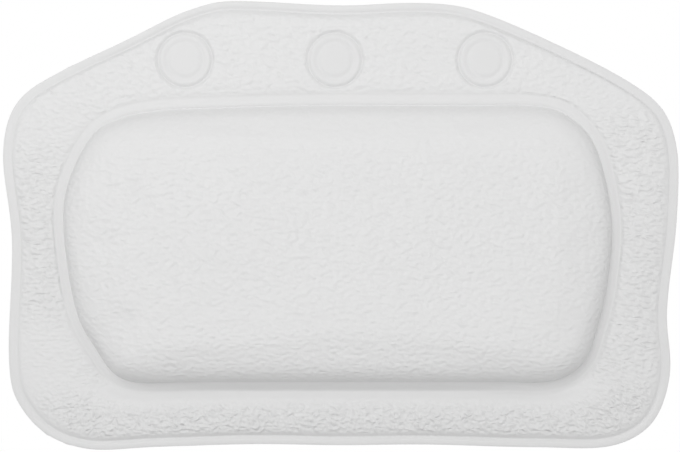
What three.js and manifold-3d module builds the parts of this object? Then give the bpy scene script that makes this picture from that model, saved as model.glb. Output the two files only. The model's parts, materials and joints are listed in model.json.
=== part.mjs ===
// Bath pillow for a tub wall, in millimetres. +X is to the right, +Y towards the wall, +Z up.
// The origin lies on the wall, level with the row of suction cups and on the pillow's centre line.
// A depth is measured from the wall towards the bather, so a depth d lies at y = -d.
import * as THREE from "three";
import { mergeVertices } from "three/addons/utils/BufferGeometryUtils.js";
import Module from "manifold-3d";

// Suction cups
const CUP_PITCH = 73.2;
const CUP_ROW_SHIFT = -3.4;
const SKIRT_DIAMETER = 28;
const SKIRT_HEIGHT = 6.5;
const SKIRT_WALL = 1.5;
const LIP_WIDTH = 1.4;
const COLLAR_WALL = 1.8;
const NECK_DIAMETER = 8;
const NECK_CLEARANCE = 0.3;
const PRESS_TRAVEL = 4;
const PRESS_CLEARANCE = 0.6;
const FLANGE_MARGIN = 0.5;
const FLANGE_THICKNESS = 1.2;
const FLANGE_CHAMFER = 0.4;

// Sheets and what the weld bars leave of them
const BACK_SHEET = 0.8;
const FRONT_SHEET = 3.8;
const COVER_SHEET = 2.4;
const PRESSED_SHEET = 0.9;
const WELD_FILM = 0.3;
const JOIN_GAP = 0.1;
const RIM_WIDTH = 3.4;
const RIM_SHEET = 1.8;
const RIM_EDGE = 1.1;
const GROOVE_WIDTH = 1.3;
const GROOVE_WALL = 0.6;
const RING_DIAMETER = 26.5;
const RING_WIDTH = 2.2;
const RING_DISC = 3.2;

// Layout, downwards from the cup row
const HEADER_RISE = 28.1;
const HEADER_MARGIN = 16;
const FOLD_MARGIN = 1.4;
const SEAM_MARGIN = 2.4;
const SEAM_WIDTH = 5;
const PAD_WIDTH = 266.8;
const PAD_HEIGHT = 134;
const PAD_SHIFT = -1.3;
const SIDE_BORDER = 26.6;
const BOTTOM_BORDER = 29.3;

// The pad's crown over its foam core
const CROWN_TOP = 13;
const CROWN_LOW = 23;
const ROUND_TOP = 14;
const ROUND_LOW = 17;
const ROUNDNESS = 2.2;
const CORE_GAP = 0.5;

// The fold between header and pad
const HINGE_GAP = 0.9;
const FORWARD_ANGLE = THREE.MathUtils.degToRad(32);

// The edge, clockwise from the middle of the top, as shares of a width and a height: above the cup
// row of the header's half width and rise, below it of the half width and drop
const EDGE_SHARES = [
  [0, 0.921], [0.332, 0.967], [0.537, 0.927], [0.666, 0.811], [1, 0.301], [0.87, -0.067],
  [0.958, -0.132], [0.996, -0.224], [0.997, -0.409], [0.967, -0.655], [0.977, -0.809], [0.926, -0.933],
  [0.82, -0.99], [0.579, -0.996], [0.247, -0.989], [0, -0.991], [-0.25, -0.988], [-0.541, -0.995],
  [-0.758, -1], [-0.873, -0.964], [-0.963, -0.87], [-0.982, -0.778], [-0.973, -0.46], [-1, -0.238],
  [-0.972, -0.132], [-0.902, -0.068], [-1, 0.352], [-0.773, 0.77], [-0.59, 0.976], [-0.47, 1],
];
// The foot of the pad as shares of its half width and height, each point beside its neighbour on
// the edge
const FOOT_SHARES = [
  [0, 0], [0.25, 0], [0.41, 0], [0.55, 0], [0.7, 0], [0.815, -0.02],
  [0.883, -0.07], [0.94, -0.148], [1, -0.4], [0.985, -0.65], [0.95, -0.8], [0.899, -0.934],
  [0.8, -0.996], [0.595, -1], [0.25, -1], [0, -1], [-0.25, -1], [-0.505, -1],
  [-0.762, -1], [-0.824, -0.967], [-0.879, -0.887], [-0.941, -0.785], [-0.989, -0.566], [-1, -0.348],
  [-0.962, -0.225], [-0.88, -0.093], [-0.793, -0.046], [-0.681, -0.022], [-0.358, -0.007], [-0.175, -0.002],
];
const OUTLINE_COUNT = 2 * EDGE_SHARES.length;
const TURN_COUNT = 36;
// Share of the way from the pad's foot to its spine, for each ring of the crown
const CROWN_SHARES = [0.02, 0.07, 0.16, 0.3, 0.52, 0.86];
// Share of the way from the pad's seam to the groove of the rim, and of the sheet's full swell there
const BORDER_SHARES = [[0.12, 0.5], [0.45, 1], [0.9, 0.7]];

const wasm = await Module();
wasm.setup();
const mix = THREE.MathUtils.lerp;

// Depths, from the wall outwards
const flangeBack = SKIRT_HEIGHT + PRESS_TRAVEL + PRESS_CLEARANCE;
const flangeFront = flangeBack + FLANGE_THICKNESS;
const backRear = flangeFront + JOIN_GAP;
const backFront = backRear + BACK_SHEET;
const filmRear = backFront + JOIN_GAP;
const filmFront = filmRear + WELD_FILM;
const coverRear = filmFront + JOIN_GAP;
const pressed = coverRear + PRESSED_SHEET;
const swollen = coverRear + FRONT_SHEET;
const hingeDepth = (backRear + backFront) / 2;
const beyond = pressed + CROWN_LOW + CROWN_TOP;

// Heights and half widths
const ringRadius = RING_DIAMETER / 2;
const discRadius = ringRadius - RING_WIDTH;
const flangeRadius = ringRadius + FLANGE_MARGIN;
const skirtRadius = SKIRT_DIAMETER / 2;
const foldZ = -(Math.max(skirtRadius, flangeRadius) + FOLD_MARGIN);
const padTop = foldZ - SEAM_MARGIN - SEAM_WIDTH;
const padBottom = padTop - PAD_HEIGHT;
const drop = -(padBottom - SEAM_WIDTH - BOTTOM_BORDER);
const halfWidth = PAD_WIDTH / 2 + SEAM_WIDTH + SIDE_BORDER;
const headerHalf = CUP_PITCH + ringRadius + HEADER_MARGIN;

function outline(shape, place) {
  const corners = shape.map(([u, v]) => place(u, v));
  const curve = new THREE.CatmullRomCurve3(corners, true, "centripetal");
  return curve.getPoints(OUTLINE_COUNT).slice(0, OUTLINE_COUNT);
}

// The outline moved outwards, or inwards for a negative distance
function offset(points, distance) {
  return points.map((point, i) => {
    const before = points[(i + OUTLINE_COUNT - 1) % OUTLINE_COUNT];
    const after = points[(i + 1) % OUTLINE_COUNT];
    const along = after.clone().sub(before).normalize();
    return new THREE.Vector3(point.x - along.z * distance, 0, point.z + along.x * distance);
  });
}

function between(inner, outer, share) {
  return inner.map((point, i) => point.clone().lerp(outer[i], share));
}

// Puts a ring of points at a depth, either one for the whole ring or one for each point
function atDepth(points, depth) {
  const each = Array.isArray(depth) ? depth : points.map(() => depth);
  return points.map((point, i) => new THREE.Vector3(point.x, -each[i], point.z));
}

function middle(ring) {
  const sum = ring.reduce((total, point) => total.add(point), new THREE.Vector3());
  return sum.divideScalar(ring.length);
}

// The faces between two neighbouring rings, given by their first points
function belt(inner, outer) {
  const faces = [];
  for (let i = 0; i < OUTLINE_COUNT; i += 1) {
    const next = (i + 1) % OUTLINE_COUNT;
    faces.push(inner + i, outer + next, outer + i, inner + i, inner + next, outer + next);
  }
  return faces;
}

// A closed skin over rings that run from the front's middle, out and round to the back's middle
function loft(rings) {
  const points = [...rings.flat(), middle(rings[0]), middle(rings[rings.length - 1])];
  const front = points.length - 2;
  const back = points.length - 1;
  const lastRing = (rings.length - 1) * OUTLINE_COUNT;
  const faces = [];
  for (let ring = 0; ring < lastRing; ring += OUTLINE_COUNT) {
    faces.push(...belt(ring, ring + OUTLINE_COUNT));
  }
  for (let i = 0; i < OUTLINE_COUNT; i += 1) {
    const next = (i + 1) % OUTLINE_COUNT;
    faces.push(front, next, i, back, lastRing + i, lastRing + next);
  }
  return new THREE.BufferGeometry().setFromPoints(points).setIndex(faces);
}

// A flat frame between two outlines and two depths
function band(inner, outer, from, to) {
  const rings = [atDepth(inner, to), atDepth(outer, to), atDepth(outer, from), atDepth(inner, from)];
  const faces = rings.flatMap((ring, j) => belt(j * OUTLINE_COUNT, ((j + 1) % rings.length) * OUTLINE_COUNT));
  return new THREE.BufferGeometry().setFromPoints(rings.flat()).setIndex(faces);
}

// A flat piece between two depths, with its outline seen from the front
function plate(points, from, to) {
  const shape = new THREE.Shape(points.map((p) => new THREE.Vector2(p.x, p.z)));
  const settings = { depth: to - from, bevelEnabled: false };
  return new THREE.ExtrudeGeometry(shape, settings).translate(0, 0, from).rotateX(Math.PI / 2);
}

// A turned piece on the cup's axis. Its profile, as radius and depth, runs along the outside from
// the front to the back.
function turned(profile) {
  const points = profile.map(([radius, depth]) => new THREE.Vector2(radius, -depth));
  return new THREE.LatheGeometry(points, TURN_COUNT);
}

function solid(geometry) {
  const bare = geometry.clone();
  bare.deleteAttribute("normal");
  bare.deleteAttribute("uv");
  const merged = mergeVertices(bare, 1e-4);
  return new wasm.Manifold(
    new wasm.Mesh({
      numProp: 3,
      vertProperties: new Float32Array(merged.attributes.position.array),
      triVerts: new Uint32Array(merged.index.array),
    }),
  );
}

function skin(body) {
  const mesh = body.getMesh();
  const geometry = new THREE.BufferGeometry();
  geometry.setAttribute("position", new THREE.BufferAttribute(mesh.vertProperties, 3));
  geometry.setIndex(new THREE.BufferAttribute(mesh.triVerts, 1));
  return geometry;
}

// The space on one side of the fold: straight behind the hinge line, and leaning away in front of it
function sideOfFold(side) {
  const lean = (beyond - hingeDepth) * Math.tan(FORWARD_ANGLE / 2);
  const start = (side * HINGE_GAP) / 2;
  const far = side * (drop + HEADER_RISE);
  const corners = [
    [start, 0], [start, hingeDepth], [start + side * lean, beyond], [far, beyond], [far, 0],
  ];
  const shape = new THREE.Shape(corners.map(([z, depth]) => new THREE.Vector2(-depth, foldZ + z)));
  const settings = { depth: 4 * halfWidth, bevelEnabled: false };
  const prism = new THREE.ExtrudeGeometry(shape, settings).translate(0, 0, -2 * halfWidth);
  // Shape axes (depth, height, width) become (y, z, x)
  return solid(prism.applyMatrix4(new THREE.Matrix4().set(0, 0, 1, 0, 1, 0, 0, 0, 0, 1, 0, 0, 0, 0, 0, 1)));
}

const edge = outline(EDGE_SHARES, (u, v) => {
  const above = v > 0;
  return new THREE.Vector3(u * (above ? headerHalf : halfWidth), 0, v * (above ? HEADER_RISE : drop));
});
const foot = outline(FOOT_SHARES, (u, v) => {
  return new THREE.Vector3(PAD_SHIFT + (u * PAD_WIDTH) / 2, 0, padTop + v * PAD_HEIGHT);
});
const seam = offset(foot, SEAM_WIDTH);
const groove = offset(edge, -(RIM_WIDTH + GROOVE_WALL + GROOVE_WIDTH));

// The pad's spine: the level line that its crown is drawn towards
const spineReach = Math.max(PAD_WIDTH - PAD_HEIGHT, 0) / 2;
const spineZ = (padTop + padBottom) / 2;
const spine = foot.map((point) => {
  const x = THREE.MathUtils.clamp(point.x - PAD_SHIFT, -spineReach, spineReach);
  return new THREE.Vector3(PAD_SHIFT + x, 0, spineZ);
});

// One ring of a skin drawn over the crown, a wall thickness inside the outer face
function crownRing(share, wall, base) {
  const start = wall / (PAD_HEIGHT / 2);
  const points = between(foot, spine, start + share * (1 - start));
  const depths = points.map((point, i) => {
    const reach = share * (1 - start) * foot[i].distanceTo(spine[i]);
    const high = (point.z - padBottom) / PAD_HEIGHT;
    const footHigh = (foot[i].z - padBottom) / PAD_HEIGHT;
    const rise = pressed + mix(CROWN_LOW, CROWN_TOP, high) - wall - base;
    const round = mix(ROUND_LOW, ROUND_TOP, footHigh * footHigh);
    const inward = Math.max(1 - reach / round, 0);
    return base + rise * Math.pow(1 - Math.pow(inward, ROUNDNESS), 1 / ROUNDNESS);
  });
  return atDepth(points, depths);
}

const crownIn = [...CROWN_SHARES].reverse();
const hollowRings = CROWN_SHARES.slice(1);
const coverSkin = loft([
  ...crownIn.map((share) => crownRing(share, 0, pressed)),
  atDepth(foot, pressed),
  atDepth(seam, pressed),
  ...BORDER_SHARES.map(([place, swell]) => {
    return atDepth(between(seam, groove, place), mix(pressed, swollen, swell));
  }),
  atDepth(groove, pressed),
  atDepth(offset(edge, -(RIM_WIDTH + GROOVE_WALL)), pressed),
  atDepth(offset(edge, -RIM_WIDTH), coverRear + RIM_SHEET),
  atDepth(edge, coverRear + RIM_EDGE),
  atDepth(edge, coverRear),
  crownRing(0, COVER_SHEET, coverRear),
  ...hollowRings.map((share) => crownRing(share, COVER_SHEET, coverRear)),
]);
const coreWall = COVER_SHEET + CORE_GAP;
const coreRear = backFront + CORE_GAP;
const coreSkin = loft([
  ...[...hollowRings].reverse().map((share) => crownRing(share, coreWall, coverRear)),
  crownRing(0, coreWall, coverRear),
  crownRing(0, coreWall, coreRear),
]);

const headerSide = sideOfFold(1);
const padSide = sideOfFold(-1);
const cover = solid(coverSkin);
const backing = solid(plate(edge, backRear, backFront));
const edgeFilm = solid(band(groove, edge, filmRear, filmFront));

const cupXs = { left: CUP_ROW_SHIFT - CUP_PITCH, middle: CUP_ROW_SHIFT, right: CUP_ROW_SHIFT + CUP_PITCH };

// What the ring-shaped weld bar presses out of the header's front
const ringPress = solid(
  turned([
    [0, beyond], [ringRadius, beyond], [ringRadius, pressed],
    [discRadius, pressed], [discRadius, coverRear + RING_DISC], [0, coverRear + RING_DISC],
  ]),
);
let headerFront = cover.intersect(headerSide);
for (const x of Object.values(cupXs)) {
  headerFront = headerFront.subtract(ringPress.translate([x, 0, 0]));
}

const ringFilm = turned([
  [discRadius, filmFront], [ringRadius, filmFront], [ringRadius, filmRear],
  [discRadius, filmRear], [discRadius, filmFront],
]);

const neckRadius = NECK_DIAMETER / 2;
const boreRadius = neckRadius + NECK_CLEARANCE;
const collarRadius = boreRadius + COLLAR_WALL;
const ceiling = SKIRT_HEIGHT - SKIRT_WALL;
const flange = turned([
  [0, flangeFront], [flangeRadius, flangeFront], [flangeRadius, flangeBack + FLANGE_CHAMFER],
  [flangeRadius - FLANGE_CHAMFER, flangeBack], [neckRadius, flangeBack], [neckRadius, ceiling], [0, ceiling],
]);

// The bell: a flat lip, an outer face that swells up to the collar and an inner face one wall below it
function bellCurve(fromRadius, toRadius, toDepth, steps) {
  const rim = new THREE.Vector2(fromRadius, 0);
  const top = new THREE.Vector2(toRadius, toDepth);
  const pull = new THREE.Vector2(mix(fromRadius, toRadius, 0.3), toDepth);
  return new THREE.QuadraticBezierCurve(rim, pull, top).getPoints(steps).map((p) => [p.x, p.y]);
}
const bell = turned([
  ...bellCurve(skirtRadius, collarRadius, SKIRT_HEIGHT, 6).reverse(),
  ...bellCurve(skirtRadius - LIP_WIDTH, boreRadius, ceiling, 6),
  [boreRadius, SKIRT_HEIGHT],
  [collarRadius, SKIRT_HEIGHT],
]);

const foam = new THREE.MeshStandardMaterial({ name: "embossed_foam", color: 0xe4e4e2, roughness: 0.7 });
const film = new THREE.MeshStandardMaterial({ name: "back_film", color: 0xe6e6e4, roughness: 0.5 });
const melt = new THREE.MeshStandardMaterial({ name: "weld", color: 0xdededc, roughness: 0.45 });
const filling = new THREE.MeshStandardMaterial({ name: "core_foam", color: 0xf0ead2, roughness: 0.9 });
const vinyl = new THREE.MeshStandardMaterial({ name: "cup_vinyl", color: 0xd8dcdc, roughness: 0.25 });

function piece(name, geometry, material) {
  const mesh = new THREE.Mesh(geometry, material);
  mesh.name = name;
  return mesh;
}

const header = new THREE.Group();
header.name = "header";
header.add(
  piece("header_front", skin(headerFront), foam),
  piece("header_back", skin(backing.intersect(headerSide)), film),
  piece("header_edge_weld", skin(edgeFilm.intersect(headerSide)), melt),
);
const cups = new THREE.Group();
cups.name = "suction_cups";
for (const [side, x] of Object.entries(cupXs)) {
  const cup = new THREE.Group();
  cup.name = `cup_${side}`;
  cup.position.set(x, 0, 0);
  cup.add(
    piece(`cup_weld_${side}`, ringFilm, melt),
    piece(`cup_flange_${side}`, flange, vinyl),
    piece(`cup_skirt_${side}`, bell, vinyl),
  );
  cups.add(cup);
}
const pad = new THREE.Group();
pad.name = "pad";
pad.add(
  piece("pad_front", skin(cover.intersect(padSide)), foam),
  piece("pad_back", skin(backing.intersect(padSide)), film),
  piece("pad_edge_weld", skin(edgeFilm.intersect(padSide)), melt),
  piece("pad_weld", band(foot, seam, filmRear, filmFront), melt),
  piece("foam_core", coreSkin, filling),
);

const group = new THREE.Group();
group.name = "bath_pillow";
group.add(header, cups, pad);
export default group;
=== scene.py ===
"""Looks of the bath pillow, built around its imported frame.

The front sheet, back sheet, weld films, foam core and suction cups each have a class that builds and
dresses them. Everything is in metres and in the frame's own axes: +X to the right, +Y towards the wall and
+Z up, so the padded front faces -Y. A depth is measured from the wall towards the bather, as y = -depth.
"""

from __future__ import annotations

import json
import logging
import math
from dataclasses import dataclass, field
from enum import Enum
from typing import Any, Callable, ClassVar, Sequence

import bmesh
import bpy
import numpy as np
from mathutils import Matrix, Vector, noise

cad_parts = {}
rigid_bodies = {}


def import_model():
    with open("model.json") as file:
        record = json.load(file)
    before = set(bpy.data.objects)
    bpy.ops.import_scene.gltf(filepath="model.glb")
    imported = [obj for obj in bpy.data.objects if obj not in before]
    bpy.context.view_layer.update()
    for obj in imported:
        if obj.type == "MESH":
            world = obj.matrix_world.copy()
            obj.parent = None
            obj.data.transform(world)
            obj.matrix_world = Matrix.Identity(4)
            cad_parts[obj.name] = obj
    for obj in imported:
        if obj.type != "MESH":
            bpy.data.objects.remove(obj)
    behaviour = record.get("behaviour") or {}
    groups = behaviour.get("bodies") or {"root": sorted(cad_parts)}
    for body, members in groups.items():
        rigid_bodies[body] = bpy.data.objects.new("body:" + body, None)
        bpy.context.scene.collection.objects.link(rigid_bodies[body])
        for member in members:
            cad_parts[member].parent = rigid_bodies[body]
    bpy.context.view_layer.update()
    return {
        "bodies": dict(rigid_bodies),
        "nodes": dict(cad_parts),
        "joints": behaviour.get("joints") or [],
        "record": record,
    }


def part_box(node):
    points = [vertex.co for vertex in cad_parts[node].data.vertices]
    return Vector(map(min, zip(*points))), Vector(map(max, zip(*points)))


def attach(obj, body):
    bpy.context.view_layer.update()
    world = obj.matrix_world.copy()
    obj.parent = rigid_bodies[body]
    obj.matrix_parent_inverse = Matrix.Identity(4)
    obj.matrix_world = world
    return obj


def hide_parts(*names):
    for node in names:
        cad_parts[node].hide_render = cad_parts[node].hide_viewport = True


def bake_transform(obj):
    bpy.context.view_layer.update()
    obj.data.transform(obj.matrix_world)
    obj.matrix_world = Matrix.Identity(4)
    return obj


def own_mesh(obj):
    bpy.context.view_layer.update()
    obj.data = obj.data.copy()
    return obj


LOG = logging.getLogger("bath_pillow")
Colour = tuple[float, float, float, float]
Pair = tuple[float, float]
Triple = tuple[float, float, float]


class Side(Enum):
    """The three suction cups, by their place in the row."""

    LEFT = "left"
    MIDDLE = "middle"
    RIGHT = "right"


class Grain(Enum):
    """The patterns pressed into the front sheet, by the attribute that holds their strength."""

    RIPPLE = "ripple"
    PEBBLE = "pebble"
    COBBLE = "cobble"


class Zone(Enum):
    """The parts of a welded sheet, from its middle outwards."""

    CROWN = 0
    WALL = 1
    SEAM = 2
    BORDER = 3
    GROOVE = 4
    RIM = 5


@dataclass(frozen=True)
class Fade:
    """A smooth step from 0 at one value to 1 at another, which may lie below the first."""

    start: float
    end: float

    def __call__(self, value: np.ndarray) -> np.ndarray:
        """Gives the share of the step that each value has reached."""
        share = np.clip((value - self.start) / (self.end - self.start), 0.0, 1.0)
        return share * share * (3.0 - 2.0 * share)


def quarter_wave(share: np.ndarray) -> np.ndarray:
    """Rises from 0 at a share of 0 to 1 at a share of 1, steep at first, and stays there."""
    return np.sin(np.minimum(share, 1.0) * math.pi / 2)


class Outline:
    """A smooth closed line through corner points in the XZ plane, read by a running corner number."""

    SAMPLES: ClassVar[int] = 400

    def __init__(self, corners: Sequence[Pair]) -> None:
        """Keeps the corners, clockwise as seen from the front."""
        self.corners = np.array(corners, float)

    def at(self, places: np.ndarray) -> np.ndarray:
        """Finds points of the line.

        Args:
            places: Corner numbers, with fractions for the stretches between corners.

        Returns:
            One row of x and z for each place.
        """
        first = np.floor(places).astype(int)
        t = (places - first)[:, None]
        p0, p1, p2, p3 = (self.corners[(first + step) % len(self.corners)] for step in (-1, 0, 1, 2))
        spans = ((p0, p1), (p1, p2), (p2, p3))
        d0, d1, d2 = (np.linalg.norm(b - a, axis=1)[:, None] ** 0.5 for a, b in spans)
        leave = ((p1 - p0) / d0 - (p2 - p0) / (d0 + d1) + (p2 - p1) / d1) * d1
        arrive = ((p2 - p1) / d1 - (p3 - p1) / (d1 + d2) + (p3 - p2) / d2) * d1
        square = 3.0 * (p2 - p1) - 2.0 * leave - arrive
        cube = 2.0 * (p1 - p2) + leave + arrive
        return p1 + t * (leave + t * (square + t * cube))

    def loop(self, count: int) -> np.ndarray:
        """Gives points right round the line."""
        return self.at(np.linspace(0.0, len(self.corners), count, endpoint=False))

    def even(self, start: float, end: float, count: int) -> np.ndarray:
        """Spaces places evenly from one corner number up to another, which is left to the next stretch."""
        fine = np.linspace(start, end, self.SAMPLES)
        steps = np.linalg.norm(np.diff(self.at(fine), axis=0), axis=1)
        length = np.concatenate([[0.0], np.cumsum(steps)])
        return np.interp(np.linspace(0.0, length[-1], count + 1)[:-1], length, fine)


def offset(points: np.ndarray, distance: float) -> np.ndarray:
    """Moves a closed ring of points, clockwise as seen from the front, outwards by a distance."""
    along = np.roll(points, -1, axis=0) - np.roll(points, 1, axis=0)
    along /= np.linalg.norm(along, axis=1)[:, None]
    return points + distance * np.stack([-along[:, 1], along[:, 0]], axis=1)


@dataclass(frozen=True)
class Layout:
    """Where the frame puts the pillow's edge, pad, fold, sheets and cups."""

    half_width: float
    header_half: float
    rise: float
    drop: float
    foot_half: float
    foot_shift: float
    foot_top: float
    foot_height: float
    ring_radius: float
    ring_centres: dict[Side, Vector]
    fold: Vector
    cover_depth: float
    film_front: float
    back_rear: float

    SEAM_WIDTH: ClassVar[float] = 0.005
    RIM_WIDTH: ClassVar[float] = 0.0034
    GROOVE_WALL: ClassVar[float] = 0.0006
    GROOVE_WIDTH: ClassVar[float] = 0.0013
    HEADER_MARGIN: ClassVar[float] = 0.016
    BEND_ABOVE: ClassVar[float] = 0.0016
    BEND_BELOW: ClassVar[float] = 0.0072
    EDGE_SAMPLES: ClassVar[int] = 3000
    EDGE_SHARES: ClassVar[list[Pair]] = [
        (0, 0.921), (0.332, 0.967), (0.537, 0.927), (0.666, 0.811), (1, 0.301), (0.87, -0.067),
        (0.958, -0.132), (0.996, -0.224), (0.997, -0.409), (0.967, -0.655), (0.977, -0.809),
        (0.926, -0.933), (0.82, -0.99), (0.579, -0.996), (0.247, -0.989), (0, -0.991), (-0.25, -0.988),
        (-0.541, -0.995), (-0.758, -1), (-0.873, -0.964), (-0.963, -0.87), (-0.982, -0.778),
        (-0.973, -0.46), (-1, -0.238), (-0.972, -0.132), (-0.902, -0.068), (-1, 0.352),
        (-0.773, 0.77), (-0.59, 0.976), (-0.47, 1),
    ]
    FOOT_SHARES: ClassVar[list[Pair]] = [
        (0, 0), (0.25, 0), (0.41, 0), (0.55, 0), (0.7, 0), (0.815, -0.02), (0.883, -0.07),
        (0.94, -0.148), (1, -0.4), (0.985, -0.65), (0.95, -0.8), (0.899, -0.934), (0.8, -0.996),
        (0.595, -1), (0.25, -1), (0, -1), (-0.25, -1), (-0.505, -1), (-0.762, -1), (-0.824, -0.967),
        (-0.879, -0.887), (-0.941, -0.785), (-0.989, -0.566), (-1, -0.348), (-0.962, -0.225),
        (-0.88, -0.093), (-0.793, -0.046), (-0.681, -0.022), (-0.358, -0.007), (-0.175, -0.002),
    ]

    @classmethod
    def from_frame(cls, joints: Sequence[dict[str, Any]]) -> Layout:
        """Reads the places of the CAD nodes.

        Args:
            joints: The frame's joints, of which the fold gives the hinge line.

        Returns:
            The layout.
        """
        back_low, back_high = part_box("pad_back")
        seam_low, seam_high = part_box("pad_weld")
        centres = {}
        for side in Side:
            low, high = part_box(f"cup_weld_{side.value}")
            centres[side] = Vector(((low.x + high.x) / 2, 0.0, (low.z + high.z) / 2))
        radius = (high.x - low.x) / 2
        pitch = centres[Side.RIGHT].x - centres[Side.MIDDLE].x
        hinge = next(joint for joint in joints if joint["name"] == "header_fold")
        header_half, rise = pitch + radius + cls.HEADER_MARGIN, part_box("header_back")[1].z
        trial = cls.edge_line(-back_low.x, header_half, rise, -back_low.z)
        lowest = trial.loop(cls.EDGE_SAMPLES)[:, 1].min()
        return cls(
            half_width=-back_low.x,
            header_half=header_half,
            rise=rise,
            drop=-back_low.z * (back_low.z / lowest),
            foot_half=(seam_high.x - seam_low.x) / 2 - cls.SEAM_WIDTH,
            foot_shift=(seam_high.x + seam_low.x) / 2,
            foot_top=seam_high.z - cls.SEAM_WIDTH,
            foot_height=seam_high.z - seam_low.z - 2 * cls.SEAM_WIDTH,
            ring_radius=radius,
            ring_centres=centres,
            fold=Vector(hinge["pos_m"]),
            cover_depth=-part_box("pad_front")[1].y,
            film_front=-back_low.y,
            back_rear=-back_high.y,
        )

    @classmethod
    def edge_line(cls, half_width: float, header_half: float, rise: float, drop: float) -> Outline:
        """Draws the outer edge: the header above the cup row, and the part beside the pad below it."""
        return Outline([
            (u * (header_half if v > 0 else half_width), v * (rise if v > 0 else drop))
            for u, v in cls.EDGE_SHARES
        ])

    @property
    def edge(self) -> Outline:
        """The pillow's outer edge."""
        return self.edge_line(self.half_width, self.header_half, self.rise, self.drop)

    @property
    def foot(self) -> Outline:
        """The line where the pad's wall rises from its weld."""
        return Outline([
            (self.foot_shift + u * self.foot_half, self.foot_top + v * self.foot_height)
            for u, v in self.FOOT_SHARES
        ])

    @property
    def foot_bottom(self) -> float:
        """Height of the pad's lowest point."""
        return self.foot_top - self.foot_height

    @property
    def edge_weld(self) -> float:
        """Width of the edge's weld, from the outer edge to the groove's inner side."""
        return self.RIM_WIDTH + self.GROOVE_WALL + self.GROOVE_WIDTH

    def spine(self, points: np.ndarray) -> np.ndarray:
        """Finds the points of the pad's level middle line that points round the pad are drawn towards."""
        reach = self.foot_half - self.foot_height / 2
        along = np.clip(points[:, 0] - self.foot_shift, -reach, reach) + self.foot_shift
        return np.stack([along, np.full(len(points), self.foot_top - self.foot_height / 2)], axis=1)

    def bend(self, piece: bpy.types.Object) -> None:
        """Bakes a sheet's placement into its mesh."""
        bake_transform(piece)


@dataclass(frozen=True)
class Crown:
    """The swell of the pad over its foam core: fuller and steeper at its lower end."""

    top: float = 0.0122
    low: float = 0.0222
    round_top: float = 0.014
    round_side: float = 0.017
    round_low: float = 0.0142
    roundness: float = 2.2
    valley: float = 0.0010

    LOWER_EDGE: ClassVar[Fade] = Fade(0.14, 0.01)
    STRAIGHT: ClassVar[Fade] = Fade(0.85, 0.65)
    TOP_EDGE: ClassVar[Fade] = Fade(0.86, 0.99)

    def rise(self, high: np.ndarray, foot: np.ndarray, reach: np.ndarray) -> np.ndarray:
        """Works out how far the pad stands above its weld.

        Args:
            high: Height of each point as a share of the pad's height.
            foot: For the nearest point of the pad's foot, a row of how far out and how high it lies, as
                shares of the pad's half width and height.
            reach: Distance of each point in from the foot.

        Returns:
            The rise of each point.
        """
        full = self.low + (self.top - self.low) * high
        foot_out, foot_high = foot.T
        length = self.round_side + (self.round_top - self.round_side) * foot_high**2
        lower_edge = self.LOWER_EDGE(foot_high) * self.STRAIGHT(foot_out)
        length += (self.round_low - self.round_side) * lower_edge
        start = self.valley * self.TOP_EDGE(foot_high)
        inward = np.clip(1.0 - np.maximum(reach - start, 0.0) / length, 0.0, 1.0)
        return full * (1.0 - inward**self.roundness) ** (1.0 / self.roundness)


@dataclass(frozen=True)
class Ring:
    """One ring of points of a sheet, with its zone and how far out over the border it lies."""

    zone: Zone
    points: np.ndarray
    depth: np.ndarray
    out: float = 0.0


def open_edges(bm: bmesh.types.BMesh) -> list[bmesh.types.BMEdge]:
    """Lists the edges that bound a mesh."""
    return [edge for edge in bm.edges if edge.is_boundary]


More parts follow.
